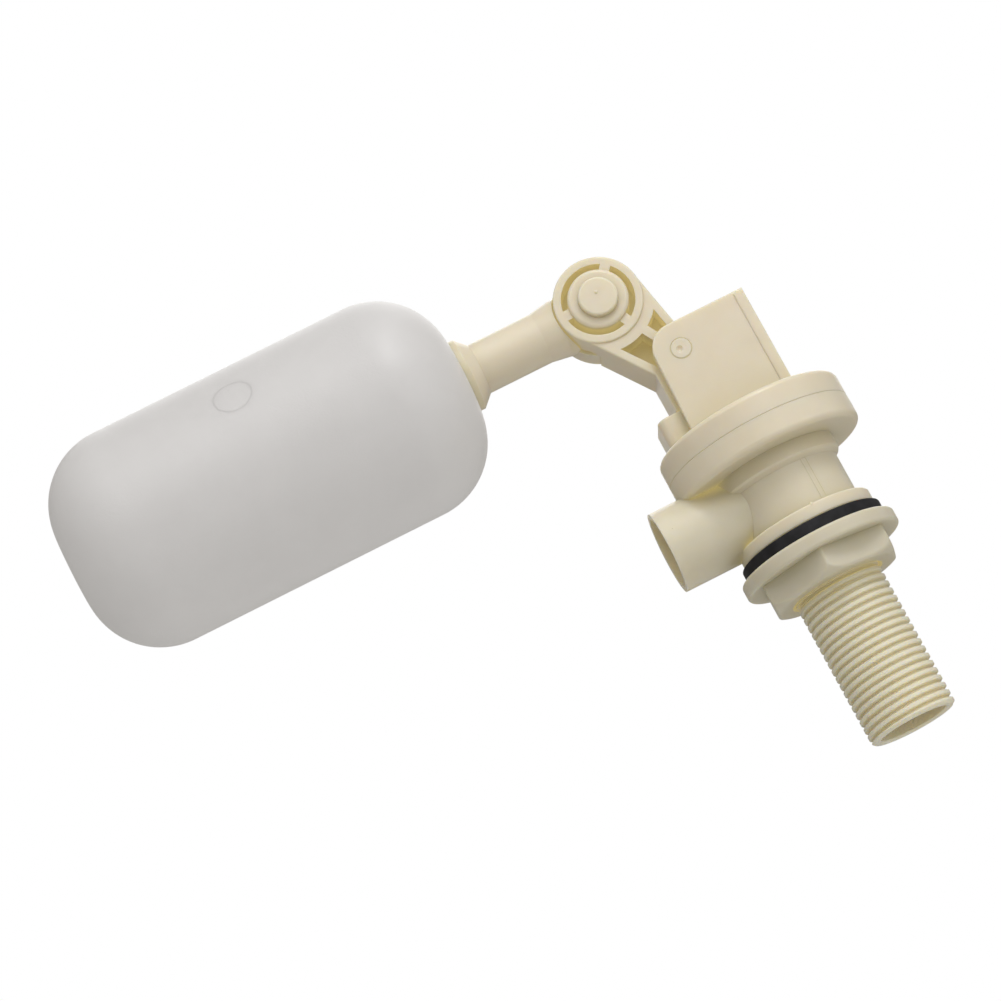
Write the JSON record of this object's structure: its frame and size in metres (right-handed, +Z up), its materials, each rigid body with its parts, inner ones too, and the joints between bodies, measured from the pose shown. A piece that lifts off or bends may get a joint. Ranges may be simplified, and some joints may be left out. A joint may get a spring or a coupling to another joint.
{
  "type": "float valve",
  "caption": "Bottom-entry tank float valve: a long hollow float on a jointed lever pushes a plunger shut as the water level rises.",
  "frame": {"origin": "on the valve's axis, level with the underside of the mounting flange that seats on the tank wall", "axes": "+Z up along the shank and valve axis, the outlet spout and the float point to -X, the lever swings about Y"},
  "size_m": [0.1699, 0.051, 0.141],
  "materials": {
    "ivory_plastic": "satin",
    "nut_plastic": "satin",
    "nylon": "satin",
    "float_plastic": "frosted",
    "black_rubber": "matte"
  },
  "bodies": {
    "valve": {"valve_body": "ivory_plastic", "seat_jet": "nylon", "bonnet": "ivory_plastic", "bonnet_seal": "black_rubber", "pivot_pin": "ivory_plastic"},
    "gasket": {"panel_gasket": "black_rubber"},
    "nut": {"lock_nut": "nut_plastic"},
    "plunger_set": {"plunger": "nylon", "plunger_seal": "black_rubber", "seat_washer": "black_rubber"},
    "lever_set": {"lever": "ivory_plastic", "knuckle_plug": "ivory_plastic"},
    "float_set": {"float_arm": "ivory_plastic", "float_shell": "float_plastic"}
  },
  "joints": [
    {"name": "lever_pivot", "type": "hinge", "parent": "valve", "child": "lever_set", "pos_m": [-0.00635, 0, 0.049], "axis": [0, 1, 0], "range_deg": [0, 14.4]},
    {"name": "plunger_slide", "type": "slide", "parent": "valve", "child": "plunger_set", "axis": [0, 0, -1], "range_m": [0, 0.0016]},
    {"name": "knuckle", "type": "hinge", "parent": "lever_set", "child": "float_set", "pos_m": [-0.017, 0, 0.0684], "axis": [0, 1, 0], "range_deg": [-16, 60]},
    {"name": "gasket_slide", "type": "slide", "parent": "valve", "child": "gasket", "axis": [0, 0, -1], "range_m": [0, 0.01451]},
    {"name": "nut_spin", "type": "hinge", "parent": "gasket", "child": "nut", "pos_m": [0, 0, -0.007], "axis": [0, 0, -1], "range_deg": [0, 2880]}
  ],
  "couplings": [
    {"joint": "plunger_slide", "follows": "lever_pivot", "m_per_rad": 0.00635},
    {"joint": "gasket_slide", "follows": "nut_spin", "m_per_rad": 0.00028871}
  ]
}
